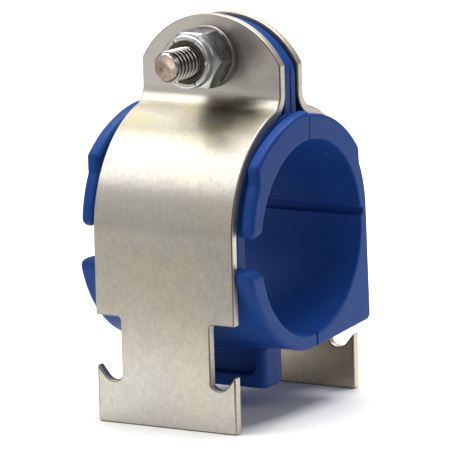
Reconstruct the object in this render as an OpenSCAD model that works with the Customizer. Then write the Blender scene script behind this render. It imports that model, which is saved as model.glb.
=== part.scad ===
// Cushioned tube clamp for slotted channel: two bent steel halves, a split
// plastic cushion, and a bolt, washer and locknut through the ears.
// Frame: X is the tube axis, Y runs from the front half (-Y) to the rear half
// (+Y), Z is up. The origin is on the floor under the middle of the ring.

/* [Steel halves] */
// Width of the strap, along the tube
strap_w = 31.75; // [30:0.05:34]
// Thickness of the sheet
strap_t = 1.9; // [1.5:0.05:2.1]
// Distance of the strap's outer face from the middle plane
strap_out = 24; // [23.8:0.05:24.5]
// Height of the centre of the strap's round part
arc_z = 37.8; // [37.4:0.05:38.2]
// Inner radius of the bend at the foot of the ear
bend_r = 3.6; // [3:0.1:4.5]
// Distance of the ear's outer face from the middle plane
ear_out = 4.35; // [4.3:0.05:5]
// Height of the ear's two corners
ear_corner_z = 69.7; // [69:0.1:71]
// Height of the top of the ear
ear_top_z = 79.2; // [78.6:0.1:80]
// Diameter of the bolt hole in the ears
ear_hole_d = 8; // [7.8:0.1:8.6]

/* [Channel feet] */
// Width of the neck that passes the channel slot
neck_w = 20.4; // [19:0.1:21.4]
// Height of the shoulder above the neck
shoulder_z = 21.4; // [20.5:0.1:22]
// Height of the bottom of the hook notch
notch_z = 8.5; // [8:0.1:9]
// Radius of the bottom of the hook notch
notch_r = 2.4; // [2.2:0.1:2.6]
// Height of the tip of each hook
hook_z = 11.3; // [11:0.1:12]

/* [Cushion] */
// Bore of the closed cushion
bore_d = 38.74; // [38:0.02:39]
// Height of the bore's axis
bore_z = 35.35; // [35.2:0.05:35.5]
// Length of the cushion along the tube
cushion_len = 39.4; // [38:0.1:42]
// Radius of the lip that overlaps the strap's edges
lip_r = 26.6; // [26:0.1:26.8]
// Height of the centre of that lip
lip_z = 33.9; // [33.6:0.1:34]
// Width of the side notch in the front half
side_notch_w = 5.9; // [5:0.1:7]
// Height of the lower end of the side notch
side_notch_z = 32.5; // [32:0.1:33]
// Gap left at the seam between the two halves
seam_gap = 0.1; // [0.06:0.02:0.2]
// Offset of the lower seam towards the rear
seam_off = 1.4; // [1:0.1:1.8]

/* [Foot block] */
// Width of the block that keys into the channel slot
block_w = 22.4; // [21:0.1:22.6]
// Distance of its front face from the middle plane
block_front = 5.3; // [5:0.1:6]
// Distance of its rear face from the middle plane
block_rear = 2; // [1.8:0.1:2.4]
// Height of its underside
block_z = 5; // [4:0.1:6]
// Depth of the pocket in its front face
pocket_depth = 2.2; // [1:0.1:3]

/* [Bolt, washer and nut] */
// Height of the bolt's axis
bolt_z = 70.85; // [70.6:0.05:71.1]
// Outer diameter of the bolt's thread
bolt_d = 6.3; // [6.2:0.01:6.34]
// Length of the bolt under its head
bolt_len = 25.4; // [24:0.1:26]
// Width across the flats of head and nut
hex_af = 11.1; // [10.9:0.05:11.3]
// Height of the bolt head
head_h = 4.1; // [3.8:0.1:4.5]
// Diameter of the washer
washer_d = 12.6; // [12:0.1:12.8]
// Thickness of the washer
washer_t = 1.6; // [1.2:0.1:1.8]
// Height of the whole locknut
nut_h = 7.9; // [7.6:0.1:8.2]
// Height of the hexagon of the locknut
nut_hex_h = 5.3; // [5:0.1:5.6]
// Diameter of the collar of the locknut
collar_d = 10.7; // [10.4:0.1:10.8]
// Diameter of the thread bore of the locknut
nut_bore_d = 6.42; // [6.4:0.01:6.5]

/* [Hidden] */
$fn = 96;
steel = "#b8b3a6";
plastic = "#2b4a8f";
e = 0.01;
strap_in = strap_out - strap_t;          // inner face of the strap
ear_in = ear_out - strap_t;              // inner face of the ear
bend_y = ear_out + bend_r;               // centre of the bend at the ear's foot
bend_z = arc_z + sqrt(pow(strap_out + bend_r, 2) - pow(bend_y, 2));
half_w = strap_w / 2;
ear_h = ear_top_z - ear_corner_z;
ear_r = (half_w * half_w + ear_h * ear_h) / (2 * ear_h);
bore_r = bore_d / 2;
end_t = cushion_len / 2 - half_w - 0.05; // length of each end past the steel
g = seam_gap / 2;
washer_y = ear_out + washer_t;           // washer face that the nut bears on
nut_y = washer_y + nut_h;                // outer end of the nut

// Lays a drawing made in (Y, Z) across the tube axis, over a length along X
module along_x(len, x0 = 0) {
  translate([x0, 0, 0]) rotate([90, 0, 90]) linear_extrude(height = len, center = true) children();
}

// Cuts or holes drawn in (X, Z) and run through along Y
module along_y(len, y0 = 0) {
  translate([0, y0, 0]) rotate([90, 0, 0]) linear_extrude(height = len, center = true) children();
}

// Round bar along Y between two distances
module bar_y(d, y0, y1, z0 = bolt_z) {
  translate([0, y0, z0]) rotate([-90, 0, 0]) cylinder(d = d, h = y1 - y0);
}

// Hexagon bar along Y, flats at the top and at the bottom
module hex_y(af, y0, y1) {
  translate([0, y0, bolt_z]) rotate([-90, 0, 0]) cylinder(d = af / cos(30), h = y1 - y0, $fn = 6);
}

// Bent section of one steel half in (Y, Z): leg, round part, bend and ear
module strap_section() {
  translate([strap_in, 0]) square([strap_t, arc_z]);
  intersection() {
    translate([0, arc_z]) difference() {
      circle(r = strap_out);
      circle(r = strap_in);
    }
    polygon([[0, arc_z], [60, arc_z], [60, arc_z + 60],
             [3 * bend_y, arc_z + 3 * (bend_z - arc_z)]]);
  }
  intersection() {
    translate([bend_y, bend_z]) difference() {
      circle(r = bend_r + strap_t);
      circle(r = bend_r);
    }
    polygon([[bend_y, bend_z], [bend_y - 30, bend_z], [bend_y - 30, arc_z], [0, arc_z]]);
  }
  translate([ear_in, bend_z]) square([strap_t, ear_top_z - bend_z]);
}

// Hook notch on one side of the leg, drawn in (X, Z)
module hook_notch() {
  cx = neck_w / 2 + 1.9;
  cz = notch_z + notch_r;
  intersection() {
    translate([cx, cz]) circle(r = notch_r);
    translate([neck_w / 2, 0]) square([20, 30]);
  }
  polygon([[neck_w / 2, cz], [cx, cz],
           [cx + 0.76 * notch_r, cz - 0.65 * notch_r],
           [half_w - 0.25, hook_z], [half_w + 5, hook_z],
           [half_w + 5, shoulder_z], [neck_w / 2 + 0.5, shoulder_z],
           [neck_w / 2, shoulder_z - 0.5]]);
}

// Outline of one steel half in (X, Z), seen along Y
module strap_outline() {
  difference() {
    union() {
      translate([-half_w, 0]) square([strap_w, ear_corner_z]);
      intersection() {
        translate([0, ear_top_z - ear_r]) circle(r = ear_r);
        translate([-half_w, ear_corner_z - e]) square([strap_w, ear_h + 5]);
      }
    }
    hook_notch();
    mirror([1, 0]) hook_notch();
  }
}

// One steel half, bent from sheet, on the +Y side
module strap_half() {
  difference() {
    intersection() {
      along_x(strap_w + 10) strap_section();
      along_y(120) strap_outline();
    }
    bar_y(ear_hole_d, 0, 12);
  }
}

module front_strap() color(steel) mirror([0, 1, 0]) strap_half();
module rear_strap() color(steel) strap_half();

// Tab of the cushion that lies between the ears
module ear_tab(y0, y1, inset) {
  r = ear_r - inset - 0.3;
  translate([0, (y0 + y1) / 2, 0]) difference() {
    along_y(y1 - y0) union() {
      translate([-half_w + inset, 58]) square([strap_w - 2 * inset, ear_corner_z - 58 - 0.3]);
      intersection() {
        translate([0, ear_top_z - 0.7 - r]) circle(r = r);
        translate([-half_w + inset, ear_corner_z - 0.4]) square([strap_w - 2 * inset, ear_h + 5]);
      }
    }
    bar_y(ear_hole_d, -10, 10);
  }
}

// Section between the steel edges, front half, in (distance from middle, Z)
module front_body_section() {
  intersection() {
    union() {
      intersection() {
        translate([0, arc_z]) circle(r = strap_in - 0.08);
        translate([0, arc_z - 6]) square([40, 40]);
      }
      intersection() {
        translate([0, arc_z - 0.5]) circle(r = strap_out + 0.3);
        translate([-5, 0]) square([5 + strap_in, arc_z]);
      }
    }
    union() {
      translate([g, bore_z]) square([40, 60]);
      translate([g - seam_off, 0]) square([50, bore_z]);
    }
  }
}

// Section past the steel edges, front half
module front_end_section() {
  intersection() {
    union() {
      // lip along the strap's edge
      intersection() {
        translate([0, lip_z]) circle(r = lip_r);
        translate([0, 49.4]) square([19.65, 20]);
      }
      // wall above the side notch
      intersection() {
        translate([0, arc_z]) circle(r = strap_in + 0.6);
        union() {
          translate([0, side_notch_z + side_notch_w + 2]) square([40, 14]);
          translate([0, side_notch_z + side_notch_w]) square([20.7, 10]);
          translate([20.7, side_notch_z + side_notch_w + 2]) circle(r = 2);
        }
      }
      // wall below the side notch
      intersection() {
        translate([0, arc_z - 0.5]) circle(r = strap_out + 0.3);
        polygon([[-5, 0], [40, 0], [40, 30.2], [23.6, 30.2], [22.6, 31.9],
                 [20.8, side_notch_z], [-5, side_notch_z]]);
      }
    }
    union() {
      translate([g, bore_z]) square([40, 60]);
      translate([g - seam_off, 0]) square([50, bore_z]);
    }
  }
}

// Section between the steel edges, rear half, in (Y, Z)
module rear_body_section() {
  intersection() {
    union() {
      intersection() {
        translate([0, arc_z]) circle(r = strap_in - 0.08);
        translate([0, arc_z - 6]) square([40, 40]);
      }
      polygon([[-5, arc_z], [strap_in, arc_z], [strap_in, 16.6], [21.7, 15.7],
               [20.8, 15.25], [1, 13.65], [-5, 13.65]]);
    }
    rear_side();
  }
}

// Section past the steel edges, rear half
module rear_end_section() {
  intersection() {
    union() {
      intersection() {
        translate([0, lip_z]) circle(r = lip_r);
        translate([0, 46.9]) square([18.9, 20]);
      }
      intersection() {
        translate([0, arc_z]) circle(r = strap_in - 0.6);
        translate([0, arc_z - 1]) square([40, 14]);
      }
      polygon([[-5, arc_z], [strap_in - 0.6, arc_z], [strap_in + 0.1, 16.6], [21.8, 15.7],
               [20.8, 15.25], [1, 13.65], [-5, 13.65]]);
    }
    rear_side();
  }
}

// The side of the seam that belongs to the rear half
module rear_side() {
  translate([g, bore_z]) square([40, 60]);
  translate([g + seam_off, 0]) square([40, bore_z]);
}

// Both ends of a cushion half, past the steel edges
module both_ends() {
  for (s = [-1, 1])
    along_x(end_t, s * (half_w + 0.05 + end_t / 2)) children();
}

// Bore of the cushion
module tube_bore() {
  translate([-40, 0, bore_z]) rotate([0, 90, 0]) cylinder(d = bore_d, h = 80);
}

// Key block under the ring, with a pocket in its front face
module foot_block() {
  difference() {
    union() {
      translate([-block_w / 2, -block_front, block_z])
        cube([block_w, block_front + seam_off - g, 14.4 - block_z]);
      translate([-block_w / 2, 0, block_z])
        cube([block_w, block_rear, 12.9 - block_z]);
    }
    translate([0, -block_front, 0]) along_y(2 * pocket_depth) union() {
      translate([-9.1, 8.8]) square([18.2, 2.8]);
      translate([-7.9, 7.6]) square([15.8, 5.2]);
      for (sx = [-1, 1]) for (z = [8.8, 11.6])
        translate([sx * 7.9, z]) circle(r = 1.2);
    }
  }
}

// Front half of the moulded cushion
module front_cushion() color(plastic) {
  difference() {
    union() {
      mirror([0, 1, 0]) {
        along_x(2 * half_w + 0.1 + 2 * e) front_body_section();
        both_ends() front_end_section();
      }
      ear_tab(-ear_in, -g, 0.35);
      foot_block();
    }
    tube_bore();
  }
}

// Rear half of the moulded cushion, with a groove along its bore
module rear_cushion() color(plastic) {
  difference() {
    union() {
      along_x(2 * half_w + 0.1 + 2 * e) rear_body_section();
      both_ends() rear_end_section();
      ear_tab(g, ear_in - 0.45, 0.3);
    }
    tube_bore();
    translate([-40, 19.4, 37.3]) rotate([0, 90, 0]) cylinder(r = 0.9, h = 80);
  }
}

// Hex bolt, head at the rear, chamfered end at the front
module bolt() color("#a9a79f") {
  y_end = ear_out - bolt_len;
  hex_y(hex_af, ear_out, ear_out + head_h);
  bar_y(bolt_d, y_end + 1, ear_out + e);
  translate([0, y_end, bolt_z]) rotate([-90, 0, 0])
    cylinder(d1 = bolt_d - 1.9, d2 = bolt_d, h = 1);
}

// Plain washer under the nut
module washer() color("#a9a79f") {
  difference() {
    bar_y(washer_d, -washer_y, -ear_out);
    bar_y(6.8, -washer_y - 1, -ear_out + 1);
  }
}

// Locknut: hexagon with a round collar that holds the insert
module locknut() color("#9b9a95") {
  difference() {
    union() {
      hex_y(hex_af, -washer_y - nut_hex_h, -washer_y);
      bar_y(collar_d, -nut_y, -washer_y - nut_hex_h + e);
    }
    bar_y(nut_bore_d, -nut_y - 1, -washer_y + 1);
    bar_y(8.7, -nut_y + 0.4, -nut_y + 2.4);
    bar_y(8.1, -nut_y - 1, -nut_y + 0.5);
  }
}

// Plastic locking ring held in the collar
module nut_insert() color("#3a3228") {
  difference() {
    bar_y(8.7, -nut_y + 0.4, -nut_y + 2.4);
    bar_y(nut_bore_d, -nut_y - 1, -washer_y + 1);
  }
}

front_strap();
rear_strap();
front_cushion();
rear_cushion();
bolt();
washer();
locknut();
nut_insert();
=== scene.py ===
import math

import bmesh
import bpy
import numpy as np
from mathutils import Matrix, Vector


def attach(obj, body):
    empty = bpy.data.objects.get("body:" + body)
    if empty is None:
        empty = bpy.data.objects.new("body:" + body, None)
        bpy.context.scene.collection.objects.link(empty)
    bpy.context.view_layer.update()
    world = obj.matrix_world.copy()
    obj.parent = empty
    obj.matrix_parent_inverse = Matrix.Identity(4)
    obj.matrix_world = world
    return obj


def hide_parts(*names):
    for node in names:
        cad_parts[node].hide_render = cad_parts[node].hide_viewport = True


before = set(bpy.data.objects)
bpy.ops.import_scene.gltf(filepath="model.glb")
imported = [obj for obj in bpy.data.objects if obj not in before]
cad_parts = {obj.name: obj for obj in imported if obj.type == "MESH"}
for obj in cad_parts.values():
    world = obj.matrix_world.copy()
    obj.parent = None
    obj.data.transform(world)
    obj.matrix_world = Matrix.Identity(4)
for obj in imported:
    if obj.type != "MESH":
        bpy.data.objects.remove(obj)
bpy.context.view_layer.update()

MM = 0.001

# ---------------------------------------------------------------- dimensions
# All in millimetres, in the CAD's frame: X along the tube, -Y the front half.
STRAP_W, STRAP_T, STRAP_OUT, ARC_Z = 31.75, 1.9, 24.0, 37.8
BEND_R, EAR_OUT, EAR_CORNER, EAR_TOP, EAR_HOLE = 3.6, 4.35, 69.7, 79.18, 8.0
HALF = STRAP_W / 2
NECK, SHOULDER, NOTCH_Z, NOTCH_R, HOOK_Z = 10.2, 21.4, 8.5, 2.4, 11.3
BORE_R, BORE_Z, CUSH = 19.37, 35.35, 19.7
GAP, SEAM = 0.07, 1.4
DROP = 0.45  # the photo's rear half sits this much lower than the front one
BOLT_Z, BOLT_END = 70.85, -21.05
HEX_AF = 11.1


# ---------------------------------------------------------------- mesh tools
def make_object(name, verts, faces, mats, normals=None, face_mats=None, sharp=None):
    """A mesh object from millimetre points; normals are one vector per vertex."""
    me = bpy.data.meshes.new(name)
    me.from_pydata((np.asarray(verts, float) * MM).tolist(), [], faces)
    me.validate(clean_customdata=False)
    for m in mats:
        me.materials.append(m)
    if face_mats is not None:
        me.polygons.foreach_set("material_index", np.asarray(face_mats, np.int32))
    me.polygons.foreach_set("use_smooth", [True] * len(me.polygons))
    if sharp is not None:
        me.set_sharp_from_angle(angle=math.radians(sharp))
    if normals is not None:
        me.normals_split_custom_set_from_vertices(np.asarray(normals, float).tolist())
    me.update()
    ob = bpy.data.objects.new(name, me)
    bpy.context.scene.collection.objects.link(ob)
    return ob


def add_attribute(ob, name, values):
    a = ob.data.attributes.new(name, "FLOAT", "POINT")
    a.data.foreach_set("value", np.asarray(values, np.float32))


def circ(q, z, cq, cz, r):
    return np.hypot(q - cq, z - cz) - r


def cut(a, b, r=0.0):
    """Intersection of two distance fields, with its edge rounded by r."""
    if r <= 0:
        return np.maximum(a, b)
    return np.minimum(-r, np.maximum(a, b)) + np.hypot(
        np.maximum(a + r, 0), np.maximum(b + r, 0)
    )


def add(a, b, r=0.0):
    """Union of two distance fields, with a fillet of r."""
    if r <= 0:
        return np.minimum(a, b)
    return np.maximum(r, np.minimum(a, b)) - np.hypot(
        np.maximum(r - a, 0), np.maximum(r - b, 0)
    )


def rounded_box(u, v, cu, cv, hu, hv, r):
    du, dv = np.abs(u - cu) - (hu - r), np.abs(v - cv) - (hv - r)
    return np.hypot(np.maximum(du, 0), np.maximum(dv, 0)) + np.minimum(
        np.maximum(du, dv), 0
    ) - r


def spaced(*runs):
    """Grid lines from runs of (end, spacing), each starting where the last one ended."""
    out, at = [runs[0]], runs[0]
    for end, step in runs[1:]:
        n = max(1, int(round((end - at) / step)))
        out += list(at + (end - at) * np.arange(1, n + 1) / n)
        at = end
    return np.array(out)


def surface(fun, gx, gy, gz, relax=2):
    """Surface nets of a distance field on an uneven grid. The points are then put on the surface and get its true normals."""
    D = np.array(
        np.broadcast_to(
            fun(gx[:, None, None], gy[None, :, None], gz[None, None, :]),
            (len(gx), len(gy), len(gz)),
        )
    )
    S = D < 0
    n0, n1, n2 = (k - 1 for k in D.shape)
    count = np.zeros((n0, n1, n2), np.int8)
    for a in (0, 1):
        for b in (0, 1):
            for c in (0, 1):
                count += S[a : a + n0, b : b + n1, c : c + n2]
    active = (count > 0) & (count < 8)
    idx = np.full(active.shape, -1, np.int64)
    idx[active] = np.arange(active.sum())
    I, J, K = np.nonzero(active)
    acc = np.zeros((len(I), 3))
    cnt = np.zeros(len(I))
    g = (gx, gy, gz)
    for ax in range(3):
        others = [k for k in range(3) if k != ax]
        for o1 in (0, 1):
            for o2 in (0, 1):
                off = [0, 0, 0]
                off[others[0]], off[others[1]] = o1, o2
                p = [I + off[0], J + off[1], K + off[2]]
                q = [v.copy() for v in p]
                q[ax] = q[ax] + 1
                d0, d1 = D[p[0], p[1], p[2]], D[q[0], q[1], q[2]]
                cross = (d0 < 0) != (d1 < 0)
                t = np.where(cross, d0 / np.where(cross, d0 - d1, 1.0), 0.0)
                pt = np.stack([g[k][p[k]] for k in range(3)], -1)
                pt[:, ax] += t * (g[ax][q[ax]] - g[ax][p[ax]])
                acc[cross] += pt[cross]
                cnt[cross] += 1
    V = acc / cnt[:, None]
    quads = []
    for ax in range(3):
        b, c = [(1, 2), (2, 0), (0, 1)][ax]
        sl0 = [slice(None)] * 3
        sl1 = [slice(None)] * 3
        sl0[ax], sl1[ax] = slice(0, -1), slice(1, None)
        s0, s1 = S[tuple(sl0)], S[tuple(sl1)]
        e = np.nonzero(s0 != s1)
        e = [v for v in e]
        ok = (e[b] > 0) & (e[c] > 0) & (e[b] < (D.shape[b] - 1)) & (e[c] < (D.shape[c] - 1))
        e = [v[ok] for v in e]
        inside_first = s0[e[0], e[1], e[2]]

        def cell(db, dc):
            p = [v.copy() for v in e]
            p[b] = p[b] - db
            p[c] = p[c] - dc
            return idx[p[0], p[1], p[2]]

        A, B, C, E = cell(1, 1), cell(0, 1), cell(0, 0), cell(1, 0)
        q = np.stack([A, B, C, E], -1)
        q[~inside_first] = q[~inside_first][:, ::-1]
        quads.append(q)
    Q = np.concatenate(quads)

    def grad(P, h=0.01):
        G = np.empty_like(P)
        for k in range(3):
            d = np.zeros(3)
            d[k] = h
            a, b2 = P + d, P - d
            G[:, k] = fun(a[:, 0], a[:, 1], a[:, 2]) - fun(b2[:, 0], b2[:, 1], b2[:, 2])
        return G / (2 * h)

    def project(P, times):
        for _ in range(times):
            f = fun(P[:, 0], P[:, 1], P[:, 2])
            G = grad(P)
            l2 = np.maximum((G * G).sum(1), 0.25)
            step = np.clip(f / l2, -0.3, 0.3)
            P = P - G * step[:, None]
        return P

    E2 = np.concatenate([Q[:, [0, 1]], Q[:, [1, 2]], Q[:, [2, 3]], Q[:, [3, 0]]])
    E2 = np.concatenate([E2, E2[:, ::-1]])
    deg = np.bincount(E2[:, 0], minlength=len(V)).astype(float)[:, None]
    V = project(V, 2)
    for _ in range(relax):
        mean = np.stack(
            [np.bincount(E2[:, 0], weights=V[E2[:, 1], k], minlength=len(V)) for k in range(3)],
            -1,
        ) / deg
        V = V + 0.4 * (mean - V)
        V = project(V, 2)
    V = project(V, 1)
    V[:, 0] = np.clip(V[:, 0], -CUSH + 0.005, CUSH - 0.005)
    N = grad(V, 0.02)
    N /= np.maximum(np.linalg.norm(N, axis=1), 1e-9)[:, None]
    return V, Q, N


# ------------------------------------------------------------- steel halves
QM, QE = STRAP_OUT - STRAP_T / 2, EAR_OUT - STRAP_T / 2
RB = BEND_R + STRAP_T / 2
C2Q = EAR_OUT + BEND_R
C2Z = ARC_Z + math.sqrt((STRAP_OUT + BEND_R) ** 2 - C2Q ** 2)
PHI = math.atan2(C2Z - ARC_Z, C2Q)
S1 = ARC_Z
S2 = S1 + QM * PHI
S3 = S2 + RB * PHI


def strap_frame(s, drop=0.0):
    """Mid-sheet point, tangent and outward normal in (distance from middle, Z) at length s up the blank; drop shortens the leg."""
    s = np.asarray(s, float)
    q, z = np.full_like(s, QM), s.copy()
    tq, tz = np.zeros_like(s), np.ones_like(s)
    nq, nz = np.ones_like(s), np.zeros_like(s)
    m = (s > S1) & (s <= S2)
    th = (s[m] - S1) / QM
    q[m], z[m] = QM * np.cos(th), ARC_Z + QM * np.sin(th)
    tq[m], tz[m], nq[m], nz[m] = -np.sin(th), np.cos(th), np.cos(th), np.sin(th)
    m = (s > S2) & (s <= S3)
    al = PHI + math.pi - (s[m] - S2) / RB
    q[m], z[m] = C2Q + RB * np.cos(al), C2Z + RB * np.sin(al)
    tq[m], tz[m], nq[m], nz[m] = np.sin(al), -np.cos(al), -np.cos(al), -np.sin(al)
    m = s > S3
    q[m], z[m] = QE, C2Z + s[m] - S3
    z -= drop * np.clip((s - 22.5) / 12.0, 0, 1)
    return q, z, tq, tz, nq, nz


def round_corners(pts):
    """Outline from (x, z, radius) corners, each replaced by an arc of that radius."""
    out = []
    n = len(pts)
    for i, (x, z, r) in enumerate(pts):
        if r <= 0:
            out.append((x, z))
            continue
        p = np.array([x, z])
        a = np.array(pts[i - 1][:2]) - p
        b = np.array(pts[(i + 1) % n][:2]) - p
        a, b = a / np.linalg.norm(a), b / np.linalg.norm(b)
        half = math.acos(max(-1, min(1, float(a @ b)))) / 2
        d = r / math.tan(half)
        mid = (a + b) / np.linalg.norm(a + b)
        c = p + mid * r / math.sin(half)
        p0, p1 = p + a * d, p + b * d
        a0 = math.atan2(*(p0 - c)[::-1])
        a1 = math.atan2(*(p1 - c)[::-1])
        da = (a1 - a0 + math.pi) % (2 * math.pi) - math.pi
        k = max(2, int(math.ceil(abs(da) / math.radians(15))))
        for j in range(k + 1):
            t = a0 + da * j / k
            out.append((c[0] + r * math.cos(t), c[1] + r * math.sin(t)))
    return out


def strap_blank():
    """Outline of the flat blank in (x, s), anticlockwise, and its bolt hole."""
    cx, cz = NECK + 1.9, NOTCH_Z + NOTCH_R
    er = (HALF ** 2 + (EAR_TOP - EAR_CORNER) ** 2) / (2 * (EAR_TOP - EAR_CORNER))
    ez = EAR_TOP - er
    lift = S3 - C2Z
    right = [(HALF, 0, 0.55), (HALF, HOOK_Z + 0.05, 0.16), (HALF - 0.3, HOOK_Z + 0.05, 0.16)]
    a0, a1 = math.radians(-40.5), math.radians(-142.3)
    for j in range(15):
        t = a0 + (a1 - a0) * j / 14
        right.append((cx + NOTCH_R * math.cos(t), cz + NOTCH_R * math.sin(t), 0))
    right += [(NECK, SHOULDER, 0.75), (HALF, SHOULDER, 0.4)]
    right.append((HALF, EAR_CORNER + lift, 0.6))
    t0 = math.atan2(EAR_CORNER - ez, HALF)
    k = 26
    for j in range(1, k + 1):
        t = t0 + (math.pi / 2 - t0) * j / k
        right.append((er * math.cos(t), ez + er * math.sin(t) + lift, 0))
    left = [(-x, z, r) for x, z, r in right[:-1]][::-1]
    pts = round_corners(right + left)
    keep = [pts[0]]
    for p in pts[1:]:
        if math.dist(p, keep[-1]) > 0.02:
            keep.append(p)
    hole = [
        (
            EAR_HOLE / 2 * math.cos(-2 * math.pi * j / 72),
            BOLT_Z + lift + EAR_HOLE / 2 * math.sin(-2 * math.pi * j / 72),
        )
        for j in range(72)
    ]
    return np.array(keep), np.array(hole)


def ring_normals(P):
    """Outward direction at each point of a closed outline that runs with the material on its left, with its mitre length."""
    e = np.roll(P, -1, 0) - P
    n = np.stack([e[:, 1], -e[:, 0]], -1)
    n /= np.linalg.norm(n, axis=1)[:, None]
    m = n + np.roll(n, 1, 0)
    m /= np.linalg.norm(m, axis=1)[:, None]
    cosh = (m * n).sum(1)
    return m, 1 / np.maximum(cosh, 0.5)


def build_strap(name, side, mats, drop=0.0):
    """One bent half, with rounded edges, from its flat blank; side is -1 for the front and 1 for the rear."""
    outline, hole = strap_blank()
    r, T = 0.36, STRAP_T
    betas = np.radians([90, 60, 30, 0])
    bm = bmesh.new()
    lay = bm.verts.layers.float_vector.new("n")
    edge = bm.verts.layers.float.new("edge")
    loops_in = []
    for P in (outline, hole):
        n2, mit = ring_normals(P)
        rows = []
        prof = [(b, 1) for b in betas] + [(b, -1) for b in betas[::-1]]
        for b, sg in prof:
            d = r * (1 - math.cos(b))
            t = sg * (T / 2 - r + r * math.sin(b))
            row = []
            for i in range(len(P)):
                p = P[i] - n2[i] * mit[i] * d
                v = bm.verts.new((p[0], p[1], t))
                v[lay] = Vector((n2[i][0] * math.cos(b), n2[i][1] * math.cos(b), sg * math.sin(b)))
                v[edge] = math.cos(b)
                row.append(v)
            rows.append(row)
        for a, b in zip(rows, rows[1:]):
            for i in range(len(P)):
                j = (i + 1) % len(P)
                bm.faces.new((a[i], b[i], b[j], a[j]))
        loops_in.append((rows[0], rows[-1]))
    for k, sg in ((0, 1), (1, -1)):
        edges = []
        for lp in loops_in:
            row = lp[k]
            for i in range(len(row)):
                e = bm.edges.get((row[i], row[(i + 1) % len(row)]))
                edges.append(e)
        res = bmesh.ops.triangle_fill(bm, use_beauty=True, use_dissolve=False, edges=edges, normal=Vector((0, 0, sg)))
        for f in [g for g in res["geom"] if isinstance(g, bmesh.types.BMFace)]:
            f.normal_update()
            if f.normal.z * sg < 0:
                f.normal_flip()
    cuts = list(np.arange(2.0, S1, 3.0)) + list(np.linspace(S1, S2, 50)) + list(np.linspace(S2, S3, 26)[1:])
    cuts += list(np.arange(S3 + 1.5, S3 + 14.5, 1.5))
    for s in cuts:
        bmesh.ops.bisect_plane(
            bm,
            geom=bm.verts[:] + bm.edges[:] + bm.faces[:],
            dist=1e-5,
            plane_co=(0, s, 0),
            plane_no=(0, 1, 0),
        )
    bm.verts.ensure_lookup_table()
    co = np.array([v.co[:] for v in bm.verts])
    nf = np.array([v[lay][:] for v in bm.verts])
    eg = np.array([v[edge] for v in bm.verts])
    flat = np.linalg.norm(nf, axis=1)
    nf[flat < 1e-6] = [0, 0, 1]
    nf /= np.linalg.norm(nf, axis=1)[:, None]
    bm.verts.index_update()
    faces = [[v.index for v in f.verts] for f in bm.faces]
    bm.free()
    q, z, tq, tz, nq, nz = strap_frame(co[:, 1], drop)
    P = np.stack([co[:, 0], q + co[:, 2] * nq, z + co[:, 2] * nz], -1)
    N = np.stack(
        [nf[:, 0], nf[:, 1] * tq + nf[:, 2] * nq, nf[:, 1] * tz + nf[:, 2] * nz], -1
    )
    if side < 0:
        P[:, 1] *= -1
        N[:, 1] *= -1
    ob = make_object(name, P, faces, mats)
    me = ob.data
    fn = np.zeros(len(me.polygons) * 3)
    me.polygons.foreach_get("normal", fn)
    fn = fn.reshape(-1, 3)
    first = np.array([me.loops[p.loop_start].vertex_index for p in me.polygons])
    if (fn * N[first]).sum(1).mean() < 0:
        me.flip_normals()
    me.normals_split_custom_set_from_vertices(N.tolist())
    add_attribute(ob, "edge", eg)
    return ob


# ------------------------------------------------------------ cushion halves
def bead(ax, core, r_in, r_out):
    """Limits a lip to a rounded bead along the ends, between the groove beside the steel and the end face."""
    c = cut(core, 16.9 - ax, r_in)
    return cut(c, ax - CUSH, r_out)


def ear_tab(x, q, z, q0, q1, inset):
    h = EAR_TOP - EAR_CORNER
    er = (HALF ** 2 + h ** 2) / (2 * h) - inset - 0.3
    top = circ(x, z, 0, EAR_TOP - 0.7 - er, er)
    side = np.abs(x) - (HALF - inset)
    outline = cut(cut(side, top, 0.5), 57.5 - z)
    outline = cut(outline, EAR_HOLE / 2 - np.hypot(x, z - BOLT_Z), 0.2)
    outline = outline + 0 * q
    slab = np.abs(q - (q0 + q1) / 2) - (q1 - q0) / 2
    return cut(outline, slab, 0.3)


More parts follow.
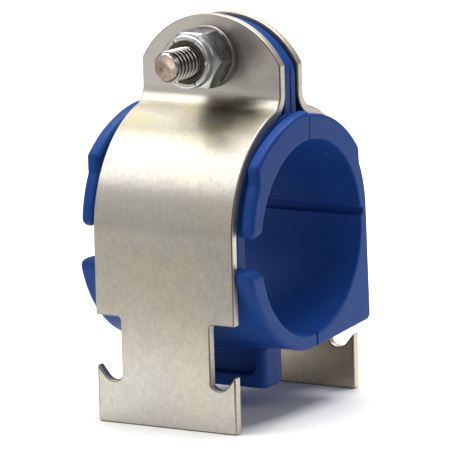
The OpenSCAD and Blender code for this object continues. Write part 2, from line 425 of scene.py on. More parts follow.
def front_field(x, y, z):
    q, ax = -y, np.abs(x)
    bore = BORE_R - np.hypot(q, z - BORE_Z)
    # between the steel edges
    body = add(
        cut(circ(q, z, 0, ARC_Z, 22.02), 31.8 - z),
        cut(cut(circ(q, z, 0, 37.3, 24.3), q - 22.1), z - ARC_Z),
    )
    body = cut(body, ax - 15.93)
    # ends: floor of the groove, lip, walls above and below the side notch
    floor = cut(cut(circ(q, z, 0, ARC_Z, 21.3), 41.0 - z), ax - 18.5)
    lip = cut(cut(circ(q, z, 1.1, 32.95, 26.9), q - 19.85, 0.6), 48.5 - z, 1.0)
    lip = bead(ax, lip, 1.2, 0.85)
    wall = bead(ax, circ(q, z, 0, ARC_Z, 22.6), 0.8, 0.9)
    wall = add(wall, cut(circ(q, z, 0, ARC_Z, 21.3), ax - 18.5), 0.3)
    wall = cut(wall, bore, 0.3)
    wall = cut(wall, 38.4 - z, 1.75)
    lower = cut(circ(q, z, 0, 37.3, 24.3), GAP - SEAM - q, 0.9)
    lower = cut(cut(lower, ax - CUSH, 0.8), bore, 0.3)
    lower = cut(lower, z - 32.5, 2.1)
    ends = add(add(add(lip, wall, 0.35), floor), lower)
    ends = cut(ends, 15.93 - ax)
    ring = add(body, ends)
    # seam faces: one above the bore, one below it towards the rear
    ring = cut(ring, cut(bore, ax - CUSH, 0.3))
    top = cut(ring, GAP - q, 0.2)
    bottom = cut(ring, GAP - SEAM - q, 0.2)
    low = cut(bottom, z - BORE_Z)
    ring = add(cut(top, BORE_Z - z), low)
    # the tab that rises between the ears
    tab = ear_tab(x, q, z, GAP, 2.45, 0.35)
    # key block with its pocket
    plan = rounded_box(x, y, 0, -1.97, 11.2, 3.33, 1.7)
    block = cut(plan, 5.0 - z, 0.5)
    block = cut(block, z - 14.4)
    tail = rounded_box(x, y, 0, -1.65, 11.2, 3.65, 1.0)
    tail = cut(tail, 5.0 - z, 1.4)
    tail = cut(tail, z - 12.9)
    pocket = rounded_box(x, z, 0, 10.2, 9.1, 2.6, 1.7)
    pocket = cut(pocket, 3.1 - q, 0.5)
    block = cut(add(block, tail, 0.2), -pocket, 0.3)
    block = cut(block, bore)
    out = add(ring, block, 0.5)
    return add(out, tab, 0.25)


def rear_field(x, y, z):
    q, ax = y, np.abs(x)
    bore = BORE_R - np.hypot(q, z - BORE_Z)
    groove = np.hypot(q - 19.4, z - 37.3) - 0.9
    z = z + DROP
    base = (13.65 + (q - 1) * (1.6 / 19.8) - z) * 0.9967
    body = add(
        cut(circ(q, z, 0, ARC_Z, 22.02), 31.8 - z),
        cut(cut(q - 22.1, base, 1.3), z - ARC_Z),
    )
    body = cut(body, ax - 15.93)
    floor = cut(cut(circ(q, z, 0, ARC_Z, 21.2), 40.0 - z), ax - 18.5)
    lip = cut(cut(circ(q, z, -0.55, 34.3, 25.85), q - 19.5, 0.7), 47.1 - z, 0.9)
    lip = bead(ax, lip, 1.2, 0.7)
    wall = cut(cut(circ(q, z, 0, ARC_Z, 21.75), ARC_Z - 1 - z), ax - CUSH, 0.45)
    side = (q - 21.75 - (ARC_Z - z) * (0.7 / 21.2)) * 0.99945
    low = cut(cut(cut(side, base, 1.2), z - ARC_Z), ax - CUSH, 0.45)
    ends = add(add(lip, wall, 0.35), add(floor, low))
    ends = cut(ends, 15.93 - ax)
    ring = add(body, ends)
    ring = cut(ring, cut(bore, ax - CUSH, 0.3))
    mid = BORE_Z + DROP
    top = cut(cut(ring, GAP - q, 0.2), mid - z)
    bottom = cut(cut(ring, GAP + SEAM - q, 0.2), z - mid)
    ring = add(top, bottom)
    ring = cut(ring, -groove, 0.12)
    tab = ear_tab(x, q, z, GAP, 2.0, 0.3)
    return add(ring, tab, 0.25)


def cushion_grids(front):
    xs = spaced(0.0, (15.4, 0.55), (17.4, 0.16), (18.3, 0.3), (19.8, 0.22), (20.1, 0.3))
    gx = np.concatenate([-xs[:0:-1], xs])
    if front:
        q = spaced(-2.3, (-1.75, 0.25), (-1.0, 0.1), (-0.1, 0.3), (0.5, 0.1), (2.9, 0.3), (24.6, 0.4))
        gy = -q[::-1]
        gz = spaced(4.6, (14.6, 0.34), (31.0, 0.45), (40.5, 0.3), (62.0, 0.4), (79.4, 0.42))
    else:
        q = spaced(-0.3, (0.4, 0.1), (1.2, 0.25), (1.9, 0.1), (2.6, 0.3), (22.8, 0.4))
        gy = q
        gz = spaced(13.2, (36.0, 0.42), (38.6, 0.18), (62.0, 0.4), (79.4, 0.42))
    return gx, gy, gz


def build_cushion(name, front, mat):
    gx, gy, gz = cushion_grids(front)
    # the grid is kept off the symmetry planes, so no point lies exactly on a face
    V, Q, N = surface(front_field if front else rear_field, gx + 0.0007, gy + 0.0011, gz + 0.0013)
    ob = make_object(name, V, Q.tolist(), [mat], normals=N)
    return ob


# --------------------------------------------------------------- hardware
def hex_radius(th, af, rc):
    """Radius of a hexagon with flats above and below and corners rounded by rc, at an angle from +X."""
    a = af / 2
    d = (np.degrees(th) - 90) % 60
    d = np.radians(np.where(d > 30, d - 60, d))
    g = math.pi / 6 - np.abs(d)
    c = (a - rc) / math.cos(math.pi / 6)
    dt = math.atan((a - rc) * math.tan(math.pi / 6) / a)
    arc = c * np.cos(g) + np.sqrt(np.maximum(rc * rc - (c * np.sin(g)) ** 2, 0))
    return np.where(np.abs(d) > dt, arc, a / np.cos(d))


def hex_angles(af, rc, flat=14, corner=6):
    a = af / 2
    dt = math.atan((a - rc) * math.tan(math.pi / 6) / a)
    sector = list(np.linspace(-dt, dt, flat + 1)) + list(np.linspace(dt, math.pi / 3 - dt, corner + 1)[1:-1])
    return np.concatenate([np.array(sector) + math.pi / 2 + k * math.pi / 3 for k in range(6)])


def rings_to_mesh(rows, th, closed_loop=False, cap_first=False, cap_last=False):
    """Rows of (radius, y), each a number or one per angle, joined into a skin round the bolt's axis."""
    n = len(th)
    V, F = [], []
    for r, y in rows:
        r = np.broadcast_to(r, (n,))
        y = np.broadcast_to(y, (n,))
        V.append(np.stack([r * np.cos(th), y, BOLT_Z + r * np.sin(th)], -1))
    V = np.concatenate(V)
    m = len(rows)
    for a in range(m if closed_loop else m - 1):
        b = (a + 1) % m
        for i in range(n):
            j = (i + 1) % n
            F.append([a * n + i, a * n + j, b * n + j, b * n + i])
    if cap_first:
        F.append([i for i in range(n)][::-1])
    if cap_last:
        F.append([(m - 1) * n + i for i in range(n)])
    return V, F


def outward(ob):
    """Makes all faces point outwards."""
    bm = bmesh.new()
    bm.from_mesh(ob.data)
    bmesh.ops.recalc_face_normals(bm, faces=bm.faces[:])
    bm.to_mesh(ob.data)
    bm.free()
    return ob


def build_washer(mat):
    th = np.linspace(0, 2 * math.pi, 120, endpoint=False)
    y0, y1 = -EAR_OUT, -EAR_OUT - 1.6
    rows = []
    ro, ri = 6.3, 3.4
    for b in np.linspace(0, 90, 5):
        t = math.radians(b)
        rows.append((ro - 0.22 + 0.22 * math.sin(t), y0 - 0.22 + 0.22 * math.cos(t)))
    for b in np.linspace(0, 90, 6):
        t = math.radians(b)
        rows.append((ro - 0.42 + 0.42 * math.cos(t), y1 + 0.42 - 0.42 * math.sin(t)))
    rows.append((5.0, y1))
    for b in np.linspace(0, 90, 4):
        t = math.radians(b)
        rows.append((ri + 0.25 - 0.25 * math.sin(t), y1 + 0.25 - 0.25 * math.cos(t)))
    for b in np.linspace(0, 90, 4):
        t = math.radians(b)
        rows.append((ri + 0.15 - 0.15 * math.cos(t), y0 - 0.15 + 0.15 * math.sin(t)))
    rows.append((4.8, y0))
    V, F = rings_to_mesh(rows, th, closed_loop=True)
    return outward(make_object("washer_detail", V, F, [mat], sharp=50))


def build_nut(mat):
    af, rc = HEX_AF, 0.28
    th = hex_angles(af, rc, flat=22, corner=8)
    R = hex_radius(th, af, rc)
    base = -EAR_OUT - 1.6

    def at(h):
        return base - h

    t30 = math.tan(math.radians(30))
    nick = np.zeros(len(th))
    for k in range(6):
        d = (th - k * math.pi / 3 + math.pi) % (2 * math.pi) - math.pi
        nick += np.exp(-((d * 4.8 / 0.17) ** 2))
    rows = []
    r0 = 5.3
    rows.append((r0, at(0.0)))
    rows.append((R - 0.04, at(np.maximum((R - 0.04 - r0) * t30, 0.0))))
    rows.append((R, at((R - r0) * t30 + 0.07)))
    rt = 5.18
    top = 5.3 - (R - rt) * t30
    rows.append((R, at(top - 0.09)))
    rows.append((R - 0.035, at(top)))
    # painted shade on the hex flats: these rows, the flats, get the material's darker colour
    hex_flat_shade = [0, 0.3, 1, 1, 0.3]
    rows.append((rt + 0.06, at(5.26)))
    rows.append((5.12, at(5.30)))
    rows.append((5.05, at(5.38)))
    rows.append((5.08, at(5.52)))
    rows.append((5.26, at(5.68)))
    rows.append((5.34, at(5.95)))
    rows.append((5.34, at(7.30)))
    for b in np.linspace(8, 90, 7):
        t = math.radians(b)
        rows.append((4.88 + 0.46 * math.cos(t), at(7.42 + 0.46 * math.sin(t) - 0.09 * nick * (b / 90) ** 3)))
    rows.append((4.62, at(7.895 - 0.15 * nick)))
    rows.append((4.44, at(7.87 - 0.17 * nick)))
    rows.append((4.30, at(7.78 - 0.14 * nick)))
    rows.append((4.20, at(7.62 - 0.06 * nick)))
    rows.append((4.17, at(7.53)))
    rows.append((4.36, at(7.49)))
    rows.append((4.36, at(5.44)))
    rows.append((3.4, at(5.40)))
    rows.append((3.22, at(5.2)))
    rows.append((3.22, at(0.45)))
    rows.append((3.62, at(0.0)))
    rows.append((4.6, at(0.0)))
    V, F = rings_to_mesh(rows, th, closed_loop=True)
    ob = outward(make_object("locknut_detail", V, F, [mat], sharp=28))
    add_attribute(ob, "hex_flat_shade", np.repeat(hex_flat_shade + [0] * (len(rows) - len(hex_flat_shade)), len(th)))
    return ob


def build_insert(mat):
    th = np.linspace(0, 2 * math.pi, 96, endpoint=False)
    base = -EAR_OUT - 1.6
    rows = [
        (4.33, base - 5.5),
        (4.33, base - 7.46),
        (4.0, base - 7.49),
        (3.6, base - 7.47),
        (3.34, base - 7.38),
        (3.24, base - 7.2),
        (3.22, base - 6.9),
        (3.22, base - 5.7),
        (3.4, base - 5.5),
    ]
    V, F = rings_to_mesh(rows, th, closed_loop=True)
    return outward(make_object("insert_detail", V, F, [mat], sharp=40))


def thread_radius(off, y):
    """Radius of the thread at a fraction of a pitch from a crest's middle; plain near the head and chamfered at the end."""
    crest, root = 3.13, 2.42
    d = np.abs(((off + 0.5) % 1.0) - 0.5) * 2
    ramp = np.clip((d - 0.13) / 0.70, 0, 1)
    ramp = ramp + 0.06 * np.sin(ramp * math.pi) * (ramp - 0.5)
    r = crest - (crest - root) * ramp
    k = np.clip((y + 2.4) / 1.2, 0, 1)
    k = k * k * (3 - 2 * k)
    r = r + (3.12 - r) * k
    return np.minimum(r, 2.52 + np.maximum(y - BOLT_END, 0) * 0.95)


def build_bolt(mats):
    """Hex head, plain shank and right-hand thread, one object."""
    P, N, K = 1.27, 56, 16
    y0, y1 = EAR_OUT + 0.6, BOLT_END - 0.6
    turns = int(math.ceil((y0 - y1) / P)) + 2
    prof = (np.arange(K) + 0.5) / K
    i = np.arange(N * turns)
    th = 2 * math.pi * i / N
    ys = y0 + P - P * (i / N)[:, None] - P * prof[None, :]
    rr = thread_radius(np.broadcast_to(prof[None, :], ys.shape), ys)
    V = np.stack([rr * np.cos(th)[:, None], ys, BOLT_Z + rr * np.sin(th)[:, None]], -1).reshape(-1, 3)
    F = []
    for a in range(N * (turns - 1) - 1):
        for k in range(K):
            if k < K - 1:
                F.append([a * K + k, (a + 1) * K + k, (a + 1) * K + k + 1, a * K + k + 1])
            else:
                F.append([a * K + k, (a + 1) * K + k, (a + 1 + N) * K, (a + N) * K])
    bm = bmesh.new()
    vs = [bm.verts.new(v) for v in V]
    for f in F:
        bm.faces.new([vs[k] for k in f])
    for yy, no in ((EAR_OUT + 0.15, 1), (BOLT_END, -1)):
        bmesh.ops.bisect_plane(
            bm,
            geom=bm.verts[:] + bm.edges[:] + bm.faces[:],
            dist=1e-6,
            plane_co=(0, yy, 0),
            plane_no=(0, no, 0),
            clear_outer=True,
        )
        loose = [v for v in bm.verts if not v.link_faces]
        bmesh.ops.delete(bm, geom=loose, context="VERTS")
        rim = [e for e in bm.edges if e.is_boundary and all(abs(v.co.y - yy) < 1e-4 for v in e.verts)]
        res = bmesh.ops.contextual_create(bm, geom=rim)
        cap = res["faces"]
        if no < 0:
            # the cut end: a low raised rim round a shallow dish
            last = list(cap[0].verts)
            bmesh.ops.delete(bm, geom=cap, context="FACES_ONLY")
            rim_co = [v.co.copy() for v in last]
            for share, depth in ((0.95, 0.0), (0.87, 0.06), (0.50, 0.07), (0.41, 0.17), (0.14, 0.21)):
                ring = [bm.verts.new((c.x * share, yy + depth, BOLT_Z + (c.z - BOLT_Z) * share)) for c in rim_co]
                for i in range(len(ring)):
                    j = (i + 1) % len(ring)
                    bm.faces.new((last[i], last[j], ring[j], ring[i]))
                last = ring
            bm.faces.new(last)
    bmesh.ops.recalc_face_normals(bm, faces=bm.faces[:])
    me = bpy.data.meshes.new("shaft")
    bm.to_mesh(me)
    bm.free()
    V1 = np.array([v.co[:] for v in me.vertices])
    F1 = [list(p.vertices) for p in me.polygons]
    bpy.data.meshes.remove(me)
    af, rc = HEX_AF, 0.28
    th = hex_angles(af, rc, flat=22, corner=8)
    R = hex_radius(th, af, rc)
    b = EAR_OUT
    t30 = math.tan(math.radians(30))
    h = 4.1
    rt = 5.15
    topz = h - 0.05 - (R - rt) * t30
    rows = [
        (3.0, b + 0.02),
        (5.2, b + 0.0),
        (5.32, b + 0.04),
        (5.34, b + 0.32),
        (R - 0.05, b + 0.36),
        (R, b + 0.44),
        (R, b + topz - 0.09),
        (R - 0.035, b + topz),
        (rt + 0.06, b + h - 0.09),
        (rt - 0.08, b + h - 0.01),
        (4.4, b + h - 0.0),
        (3.9, b + h - 0.04),
        (2.6, b + h - 0.14),
        (1.0, b + h - 0.16),
    ]
    V2, F2 = rings_to_mesh(rows, th, cap_first=True, cap_last=True)
    V = np.concatenate([V1, V2])
    F = F1 + [[k + len(V1) for k in f] for f in F2]
    ob = make_object("bolt_detail", V, F, mats, sharp=32)
    outward(ob)
    rad = np.hypot(V[:, 0], V[:, 2] - BOLT_Z)
    shaft = (V[:, 1] < 1.0) & (V[:, 1] > BOLT_END + 0.3)
    # painted shade in the thread roots: 1 where the thread lies below its crest, read by the material
    add_attribute(ob, "root", np.where(shaft, np.clip((3.10 - rad) / 0.3, 0, 1), 0.0))
    add_attribute(ob, "end", (V[:, 1] < BOLT_END + 0.4) & (rad < 2.40))
    return ob


# ---------------------------------------------------------------- materials
def nodes_of(mat):
    mat.use_nodes = True
    nt = mat.node_tree
    nt.nodes.clear()
    out = nt.nodes.new("ShaderNodeOutputMaterial")
    bsdf = nt.nodes.new("ShaderNodeBsdfPrincipled")
    nt.links.new(bsdf.outputs["BSDF"], out.inputs["Surface"])
    return nt, bsdf


class Tree:
    """Short names for the nodes that the materials use."""

    def __init__(self, name):
        self.mat = bpy.data.materials.new(name)
        self.nt, self.bsdf = nodes_of(self.mat)
        self.tc = self.nt.nodes.new("ShaderNodeTexCoord")

    def link(self, a, b):
        self.nt.links.new(a, b)

    def mapping(self, scale=(1, 1, 1), rot=(0, 0, 0), loc=(0, 0, 0)):
        m = self.nt.nodes.new("ShaderNodeMapping")
        m.inputs["Scale"].default_value = scale
        m.inputs["Rotation"].default_value = rot
        m.inputs["Location"].default_value = loc
        self.link(self.tc.outputs["Object"], m.inputs["Vector"])
        return m.outputs["Vector"]

    def noise(self, scale, detail=3.0, rough=0.5, vec=None, distortion=0.0):
        n = self.nt.nodes.new("ShaderNodeTexNoise")
        n.inputs["Scale"].default_value = scale
        n.inputs["Detail"].default_value = detail
        n.inputs["Roughness"].default_value = rough
        n.inputs["Distortion"].default_value = distortion
        self.link(vec if vec is not None else self.tc.outputs["Object"], n.inputs["Vector"])
        return n.outputs["Fac"]

    def voronoi(self, scale, vec=None, feature="F1"):
        n = self.nt.nodes.new("ShaderNodeTexVoronoi")
        n.feature = feature
        n.inputs["Scale"].default_value = scale
        self.link(vec if vec is not None else self.tc.outputs["Object"], n.inputs["Vector"])
        return n.outputs["Distance"]

    def rng(self, val, a, b, c, d, smooth=False):
        n = self.nt.nodes.new("ShaderNodeMapRange")
        n.interpolation_type = "SMOOTHSTEP" if smooth else "LINEAR"
        n.inputs["From Min"].default_value = a
        n.inputs["From Max"].default_value = b
        n.inputs["To Min"].default_value = c
        n.inputs["To Max"].default_value = d
        self.link(val, n.inputs["Value"])
        return n.outputs["Result"]

    def mix(self, fac, a, b, mode="MIX"):
        n = self.nt.nodes.new("ShaderNodeMix")
        n.data_type = "RGBA"
        n.blend_type = mode
        for sock, v in (("Factor", fac), (6, a), (7, b)):
            s = n.inputs[0] if sock == "Factor" else n.inputs[sock]
            if hasattr(v, "is_linked") or hasattr(v, "links"):
                self.link(v, s)
            elif isinstance(v, (tuple, list)):
                s.default_value = (*v[:3], 1.0)
            else:
                s.default_value = v
        return n.outputs[2]

    def math(self, op, a, b=0.0):
        n = self.nt.nodes.new("ShaderNodeMath")
        n.operation = op
        for k, v in enumerate((a, b)):
            if hasattr(v, "links"):
                self.link(v, n.inputs[k])
            else:
                n.inputs[k].default_value = v
        return n.outputs[0]

    def attribute(self, name):
        n = self.nt.nodes.new("ShaderNodeAttribute")
        n.attribute_name = name
        return n.outputs["Fac"]

    def bump(self, height, strength, dist, normal=None):
        n = self.nt.nodes.new("ShaderNodeBump")
        n.inputs["Strength"].default_value = strength
        n.inputs["Distance"].default_value = dist
        self.link(height, n.inputs["Height"])
        if normal is not None:
            self.link(normal, n.inputs["Normal"])
        return n.outputs["Normal"]


def steel_material(name, base, warm, cool, edge_col, rough=(0.27, 0.37), painted_light_and_shade=False):
    """Zinc-plated sheet: cloudy warm and cool tints, fine mottled grain, a dark line of painted shade and a pale band
    on the cut edges that is partly their own sheared tone and partly a painted highlight; when asked, also painted
    light and shade on the leg, bend and ear.
    """
    t = Tree(name)
    b = t.bsdf
    b.inputs["Metallic"].default_value = 1.0
    cloud = t.noise(60, 3, 0.5)
    cloud2 = t.noise(95, 4, 0.55, vec=t.mapping(loc=(0.3, 0.1, 0.7)))
    col = t.mix(t.rng(cloud, 0.40, 0.64, 0, 1, True), base, warm)
    col = t.mix(t.rng(cloud2, 0.46, 0.68, 0, 0.8, True), col, cool)
    grain = t.noise(1100, 5, 0.7, vec=t.mapping(scale=(1.0, 1.0, 0.7)))
    speck = t.noise(3600, 2, 0.5)
    stain = t.noise(420, 6, 0.7, vec=t.mapping(loc=(1.3, 0.4, 0.2)))
    col = t.mix(t.rng(grain, 0.35, 0.65, 0.0, 0.24), col, (0.42, 0.41, 0.38), "MULTIPLY")
    col = t.mix(t.rng(stain, 0.58, 0.72, 0.0, 0.30), col, tuple(c * 0.62 for c in base))
    col = t.mix(t.rng(speck, 0.45, 0.7, 0.0, 0.10), col, (0.9, 0.88, 0.82), "SCREEN")
    rgh = t.math("ADD", t.rng(cloud2, 0.3, 0.7, rough[0], rough[1]), t.rng(grain, 0.3, 0.7, -0.02, 0.04))
    # painted light and shade on the front sheet, broken up by a noise
    if painted_light_and_shade:
        pos = t.nt.nodes.new("ShaderNodeSeparateXYZ")
        t.link(t.tc.outputs["Object"], pos.inputs[0])
        x, z = pos.outputs[0], pos.outputs[2]
        shade_breakup = t.noise(160, 5, 0.65, vec=t.mapping(loc=(0.7, 0.2, 0.9)), distortion=0.6)
        # painted shade: the upright leg darker between about 6 and 46 mm up
        leg_shade = t.math("MULTIPLY", t.rng(z, 0.006, 0.027, 0, 1, True), t.rng(z, 0.034, 0.046, 1, 0, True))
        col = t.mix(t.math("MULTIPLY", leg_shade, t.rng(shade_breakup, 0.3, 0.7, 0.85, 1.0)), col, (0.74, 0.735, 0.71), "MULTIPLY")
        # painted light: the ear lighter above about 62 mm
        col = t.mix(t.rng(z, 0.0615, 0.0650, 0, 0.85, True), col, (0.66, 0.635, 0.595))
        # painted shade: the ear darker towards +x, where the nut's shadow and reflection fall
        ear_shade = t.math("MULTIPLY", t.rng(z, 0.0625, 0.0655, 0, 1, True), t.rng(x, -0.001, 0.009, 0.1, 1, True))
        col = t.mix(t.math("MULTIPLY", ear_shade, t.rng(shade_breakup, 0.3, 0.6, 0.22, 0.55)), col, (0.27, 0.255, 0.235))
        # painted reflection: a darker olive tint on the bend between about 55 and 63 mm up
        fold_reflection = t.math("MULTIPLY", t.rng(z, 0.0545, 0.0590, 0, 1, True), t.rng(z, 0.0605, 0.0635, 1, 0, True))
        col = t.mix(t.math("MULTIPLY", fold_reflection, t.rng(shade_breakup, 0.42, 0.62, 0.0, 0.75)), col, (0.50, 0.455, 0.28))
    # painted shade and highlight on the cut edges: a dark line where the face rounds into the edge, and a pale band on
    # the edge face, partly its own streaky sheared tone and partly a painted highlight
    e = t.attribute("edge")
    band = t.rng(e, 0.72, 0.97, 0.0, 1.0, True)
    line = t.math("MULTIPLY", t.rng(e, 0.10, 0.45, 0.0, 1.0, True), t.rng(e, 0.70, 0.95, 1.0, 0.0, True))
    streak = t.noise(1500, 3, 0.6, vec=t.mapping(scale=(1, 0.25, 1)))
    ecol = t.mix(t.rng(streak, 0.35, 0.65, 0, 0.5), edge_col, tuple(c * 0.72 for c in edge_col))
    # the painted dark line, then the pale band with its painted highlight
    col = t.mix(t.math("MULTIPLY", line, 0.72), col, (0.10, 0.095, 0.085))
    col = t.mix(band, col, ecol)
    rgh = t.math("ADD", rgh, t.rng(e, 0.2, 1, 0.0, 0.14))
    t.link(col, b.inputs["Base Color"])
    t.link(rgh, b.inputs["Roughness"])
    height = t.math("ADD", t.math("MULTIPLY", grain, 0.6), t.math("MULTIPLY", speck, 0.3))
    n1 = t.bump(t.noise(38, 2, 0.5), 0.08, 0.0006)
    t.link(t.bump(height, 0.12, 0.00010, n1), b.inputs["Normal"])
    return t.mat


def plastic_material(name, base, light, dark):
    """Satin moulded plastic: faint mottling, fine moulded texture and slight unevenness."""
    t = Tree(name)
    b = t.bsdf
    mott = t.noise(120, 3, 0.55)
    fine = t.noise(1400, 4, 0.6)
    col = t.mix(t.rng(mott, 0.35, 0.7, 0, 0.6, True), base, light)
    col = t.mix(t.rng(fine, 0.42, 0.72, 0, 0.4), col, dark)
    t.link(col, b.inputs["Base Color"])
    t.link(t.math("ADD", t.rng(mott, 0.3, 0.7, 0.36, 0.44), t.rng(fine, 0.3, 0.7, -0.04, 0.05)), b.inputs["Roughness"])
    b.inputs["IOR"].default_value = 1.5
    b.inputs["Specular IOR Level"].default_value = 0.10
    n1 = t.bump(t.noise(230, 2, 0.5), 0.12, 0.0004)
    t.link(t.bump(fine, 0.12, 0.0001, n1), b.inputs["Normal"])
    return t.mat


def hardware_material(name, base, tint, rough=(0.16, 0.26), shade_attr=None, shade_col=(0.1, 0.1, 0.1), end_col=None):
    """Zinc-plated turned steel with plating clouds, fine marks, and painted shade, a darker tone, where the named
    attribute says.
    """
    t = Tree(name)
    b = t.bsdf
    b.inputs["Metallic"].default_value = 1.0
    cloud = t.noise(260, 3, 0.6)
    fine = t.noise(2600, 4, 0.6)
    col = t.mix(t.rng(cloud, 0.4, 0.65, 0, 1, True), base, tint)
    # painted shade: where the attribute is high the colour falls to the shade colour
    if shade_attr is not None:
        m = t.rng(t.attribute(shade_attr), 0.05, 0.8, 0, 1, True)
        col = t.mix(m, col, t.mix(t.rng(cloud, 0.42, 0.6, 0, 1), shade_col, tuple(c * 1.5 for c in shade_col)))
    if end_col is not None:
        ring = t.noise(900, 4, 0.6)
        col = t.mix(t.attribute("end"), col, t.mix(t.rng(ring, 0.4, 0.6, 0, 1), end_col, tuple(c * 0.66 for c in end_col)))
    col = t.mix(t.rng(fine, 0.4, 0.75, 0.0, 0.35), col, tuple(c * 0.5 for c in base))
    t.link(col, b.inputs["Base Color"])
    t.link(t.math("ADD", t.rng(cloud, 0.3, 0.7, rough[0], rough[1]), t.rng(fine, 0.3, 0.7, -0.03, 0.05)), b.inputs["Roughness"])
    t.link(t.bump(fine, 0.12, 0.00006, t.bump(t.noise(420, 2, 0.5), 0.12, 0.0002)), b.inputs["Normal"])
    return t.mat


def floor_material():
    """Matt white paper, with painted shade that makes it fall off to pale grey in front and to darker grey towards the
    front right.
    """
    t = Tree("floor_paper")
    b = t.bsdf
    fine = t.noise(60, 4, 0.6)
    paper = t.mix(t.rng(fine, 0.3, 0.7, 0, 1), (0.91, 0.91, 0.91), (0.94, 0.94, 0.94))
    front = t.nt.nodes.new("ShaderNodeSeparateXYZ")
    t.link(t.mapping(rot=(0, 0, math.radians(-31.5))), front.inputs[0])
    toward = t.math("MULTIPLY", front.outputs[1], -1.0)
    # painted shade: grey on the floor in front of the clamp, which the upright faces mirror
    near = t.mix(t.rng(toward, 0.030, 0.125, 0, 1, True), paper, (0.33, 0.325, 0.31))
    right = t.math("ADD", toward, t.math("MULTIPLY", front.outputs[0], 0.8))
    # painted shade: darker still towards the front right
    dim = t.math("MULTIPLY", t.rng(toward, 0.04, 0.09, 0, 1, True), t.rng(right, 0.02, 0.13, 0, 1, True))
    t.link(t.mix(dim, near, (0.24, 0.24, 0.24)), b.inputs["Base Color"])
    b.inputs["Roughness"].default_value = 0.9
    b.inputs["Specular IOR Level"].default_value = 0.1
    return t.mat


# the front sheet gets painted light and shade on its leg, bend and ear
strap_front_mat = steel_material(
    "zinc_sheet_front", (0.52, 0.50, 0.455), (0.545, 0.515, 0.42), (0.51, 0.485, 0.465), (0.72, 0.65, 0.54), painted_light_and_shade=True
)
strap_rear_mat = steel_material(
    "zinc_sheet_rear", (0.55, 0.47, 0.355), (0.56, 0.46, 0.30), (0.51, 0.45, 0.37), (0.72, 0.65, 0.54)
)
blue_front = plastic_material("blue_plastic_front", (0.011, 0.054, 0.245), (0.014, 0.062, 0.27), (0.008, 0.043, 0.205))
blue_rear = plastic_material("blue_plastic_rear", (0.011, 0.053, 0.24), (0.014, 0.061, 0.265), (0.008, 0.043, 0.205))
# the thread roots get painted shade, near black; the cut end keeps its own coppery tone
bolt_mat = hardware_material(
    "zinc_bolt", (0.62, 0.60, 0.56), (0.58, 0.53, 0.47), shade_attr="root", shade_col=(0.05, 0.045, 0.04), end_col=(0.66, 0.50, 0.41)
)
# painted shade: the washer's colour is kept very dark so that it reads as the shade round the nut
washer_shade_mat = hardware_material("zinc_washer_painted_dark", (0.28, 0.265, 0.25), (0.30, 0.27, 0.245), rough=(0.3, 0.4))
# the hex flats get painted shade, a dark grey
nut_mat = hardware_material(
    "zinc_nut", (0.66, 0.67, 0.66), (0.61, 0.62, 0.63), rough=(0.24, 0.34), shade_attr="hex_flat_shade", shade_col=(0.26, 0.27, 0.29)
)


def nylon_material():
    t = Tree("nylon_ring")
    b = t.bsdf
    m = t.noise(700, 3, 0.6)
    f = t.noise(3000, 3, 0.6)
    t.link(t.mix(t.rng(m, 0.35, 0.65, 0, 1), (0.055, 0.045, 0.035), (0.10, 0.08, 0.055)), b.inputs["Base Color"])
    t.link(t.rng(f, 0.3, 0.7, 0.35, 0.5), b.inputs["Roughness"])
    t.link(t.bump(f, 0.15, 0.00008), b.inputs["Normal"])
    return t.mat


nylon = nylon_material()

# ------------------------------------------------------------------ pieces
PIECES = [
    (build_strap("front_strap_detail", -1, [strap_front_mat]), "front_half", "front_strap", "strap_steel"),
    (build_strap("rear_strap_detail", 1, [strap_rear_mat], DROP), "rear_half", "rear_strap", "strap_steel"),
    (build_cushion("front_cushion_detail", True, blue_front), "front_half", "front_cushion", "blue_plastic"),
    (build_cushion("rear_cushion_detail", False, blue_rear), "rear_half", "rear_cushion", "blue_plastic"),
    (build_bolt([bolt_mat]), "screw", "bolt", "bolt_steel"),
    (build_washer(washer_shade_mat), "front_half", "washer", "washer_steel"),
    (build_nut(nut_mat), "nut", "locknut", "nut_steel"),
    (build_insert(nylon), "nut", "nut_insert", "nylon"),
]
for ob, body, node, slot in PIECES:
    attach(ob, body)
    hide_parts(node)
    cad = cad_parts[node]
    mat = ob.data.materials[0]
    for k in range(len(cad.material_slots)):
        cad.material_slots[k].material = mat

# ------------------------------------------------------------------- stage
bm = bmesh.new()
bmesh.ops.create_circle(bm, cap_ends=True, radius=3.0, segments=96)
fme = bpy.data.meshes.new("floor")
bm.to_mesh(fme)
bm.free()
floor = bpy.data.objects.new("floor", fme)
bpy.context.scene.collection.objects.link(floor)
fme.materials.append(floor_material())
floor.location = (0, 0, 0)

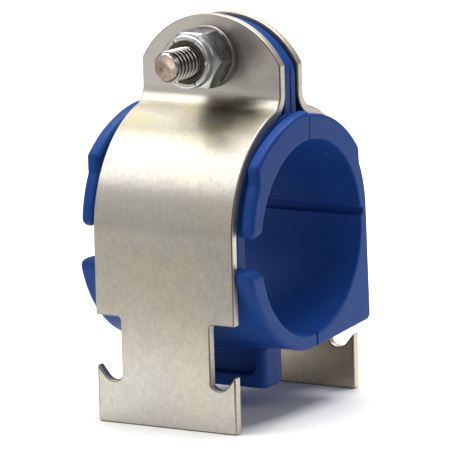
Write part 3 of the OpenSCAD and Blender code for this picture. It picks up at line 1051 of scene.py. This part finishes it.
# ------------------------------------------------------------------ camera
yaw, pitch, roll = math.radians(31.49), math.radians(-10.47), math.radians(-1.52)
fwd = Vector((-math.sin(yaw) * math.cos(pitch), math.cos(yaw) * math.cos(pitch), math.sin(pitch)))
right = fwd.cross(Vector((0, 0, 1))).normalized()
up = right.cross(fwd)
rr = math.cos(roll) * right + math.sin(roll) * up
uu = -math.sin(roll) * right + math.cos(roll) * up
cam = bpy.data.cameras.new("camera")
cam.sensor_fit = "HORIZONTAL"
cam.sensor_width = 36.0
cam.lens = 4814.37 / 450 * 36.0
cam.clip_start = 0.01
cam.clip_end = 20
camo = bpy.data.objects.new("camera", cam)
rot = Matrix((rr, uu, -fwd)).transposed().to_4x4()
camo.matrix_world = Matrix.Translation(Vector((490.06, -800.48, 209.78)) * MM) @ rot
bpy.context.scene.collection.objects.link(camo)
bpy.context.scene.camera = camo


# ------------------------------------------------------------------ lights
AIM = Vector((0, 0, 0.045))


def soft_box(name, psi, x, dist, along, across, radiance, color=(1, 1, 1)):
    """A soft box aimed at the clamp: psi is its angle up and over from the front, x its direction's share along the tube."""
    p, c = math.radians(psi), math.sqrt(1 - x * x)
    away = Vector((x, -math.cos(p) * c, math.sin(p) * c))
    tangent = Vector((0, math.sin(p), math.cos(p)))
    light = bpy.data.lights.new(name, "AREA")
    light.shape = "RECTANGLE"
    light.size, light.size_y = across, along
    light.energy = radiance * along * across * 4
    light.color = color
    o = bpy.data.objects.new(name, light)
    axes = Matrix((tangent.cross(away), tangent, away)).transposed().to_4x4()
    o.matrix_world = Matrix.Translation(AIM + away * dist) @ axes
    o.visible_camera = False
    bpy.context.scene.collection.objects.link(o)
    return o


world = bpy.data.worlds.new("studio")
bpy.context.scene.world = world
world.use_nodes = True
wn = world.node_tree
wn.nodes["Background"].inputs["Color"].default_value = (1.0, 0.98, 0.95, 1)
wn.nodes["Background"].inputs["Strength"].default_value = 0.16

# the white band over the shoulder of the strap
soft_box("key", 64, -0.514, 1.1, 0.97, 0.8, 2.05, (1.0, 0.995, 0.98))
# a weaker, warmer one beyond the top
soft_box("over", 118, -0.45, 1.2, 0.62, 1.2, 1.3, (1.0, 0.97, 0.88))
# a dim card low on the front left, which the upright faces mirror
soft_box("card", 12, -0.60, 1.2, 0.6, 1.1, 0.46, (1.0, 0.97, 0.92))
# overhead, for the floor and the upper sides
soft_box("top", 104, 0.05, 2.0, 1.7, 1.5, 5.2)
# on the right, for the end faces
soft_box("side", 62, 0.72, 1.0, 0.6, 0.6, 0.95, (1.0, 0.97, 0.94))

bpy.context.scene.view_settings.view_transform = "Standard"
